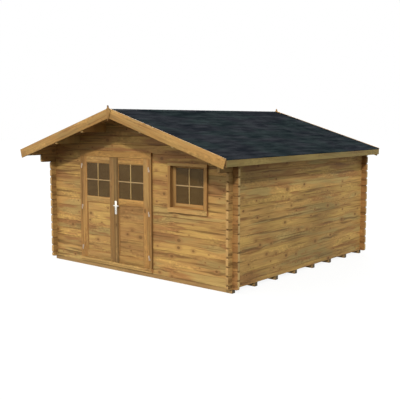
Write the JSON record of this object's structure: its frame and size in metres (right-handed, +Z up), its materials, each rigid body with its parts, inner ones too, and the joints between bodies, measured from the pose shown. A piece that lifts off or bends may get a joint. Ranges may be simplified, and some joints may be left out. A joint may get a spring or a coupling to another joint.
{
  "type": "log cabin",
  "caption": "Garden log cabin with notched crossing log corners, a glazed double door, a small window, a low gabled roof with dark covering, barge boards and finials.",
  "frame": {"origin": "on the ground under the middle of the overall box", "axes": "+Z up, the front with the door faces -Y, +X to the right seen from the front"},
  "size_m": [4.55, 4.66, 2.7157],
  "materials": {
    "wall_logs": "stained, satin",
    "door_and_window_wood": "stained, satin",
    "barge_boards": "stained, satin",
    "sawn_boards": "planed",
    "bearers": "rough sawn",
    "roof_covering": "mineral felt, matt",
    "door_metal": "satin",
    "glass": "clear"
  },
  "bodies": {
    "cabin": {"floor_bearers": "bearers", "floor_deck": "sawn_boards", "left_wall_odd_logs": "wall_logs", "left_wall_even_logs": "wall_logs", "right_wall_odd_logs": "wall_logs", "right_wall_even_logs": "wall_logs", "back_wall_odd_logs": "wall_logs", "back_wall_even_logs": "wall_logs", "front_sill_log": "wall_logs", "front_left_odd_logs": "wall_logs", "front_left_even_logs": "wall_logs", "front_right_odd_logs": "wall_logs", "front_right_even_logs": "wall_logs", "front_gable_odd_logs": "wall_logs", "front_gable_even_logs": "wall_logs", "ridge_purlin": "sawn_boards", "left_purlins": "sawn_boards", "right_purlins": "sawn_boards", "left_roof_deck": "sawn_boards", "right_roof_deck": "sawn_boards", "left_roof_covering": "roof_covering", "right_roof_covering": "roof_covering", "ridge_cap": "roof_covering", "front_left_barge": "barge_boards", "front_right_barge": "barge_boards", "rear_left_barge": "barge_boards", "rear_right_barge": "barge_boards", "front_finial": "barge_boards", "rear_finial": "barge_boards", "left_fascia": "barge_boards", "right_fascia": "barge_boards", "door_left_jamb": "door_and_window_wood", "door_right_jamb": "door_and_window_wood", "door_head": "door_and_window_wood", "door_threshold": "door_and_window_wood", "door_frame_hinges": "door_metal", "window_jambs": "door_and_window_wood", "window_head": "door_and_window_wood", "window_sill": "door_and_window_wood", "window_sash": "door_and_window_wood", "window_glass": "glass"},
    "left_door": {"left_door_stiles": "door_and_window_wood", "left_door_rails": "door_and_window_wood", "left_door_panel": "door_and_window_wood", "left_door_glass": "glass", "left_door_hinges": "door_metal"},
    "right_door": {"right_door_stiles": "door_and_window_wood", "right_door_rails": "door_and_window_wood", "right_door_panel": "door_and_window_wood", "right_door_glass": "glass", "right_door_hinges": "door_metal", "door_cover_strip": "door_and_window_wood", "door_handle_plate": "door_metal"},
    "lever": {"door_lever": "door_metal"}
  },
  "joints": [
    {"name": "left_door_hinge", "type": "hinge", "parent": "cabin", "child": "left_door", "pos_m": [-1.21108, -1.829, 1], "axis": [0, 0, -1], "range_deg": [0, 110]},
    {"name": "right_door_hinge", "type": "hinge", "parent": "cabin", "child": "right_door", "pos_m": [0.37592, -1.829, 1], "axis": [0, 0, 1], "range_deg": [0, 110]},
    {"name": "lever_turn", "type": "hinge", "parent": "right_door", "child": "lever", "pos_m": [-0.36758, -1.85, 1.103], "axis": [0, 1, 0], "range_deg": [0, 40], "stiffness_Nm_per_rad": 1, "springref_deg": -17.19}
  ]
}
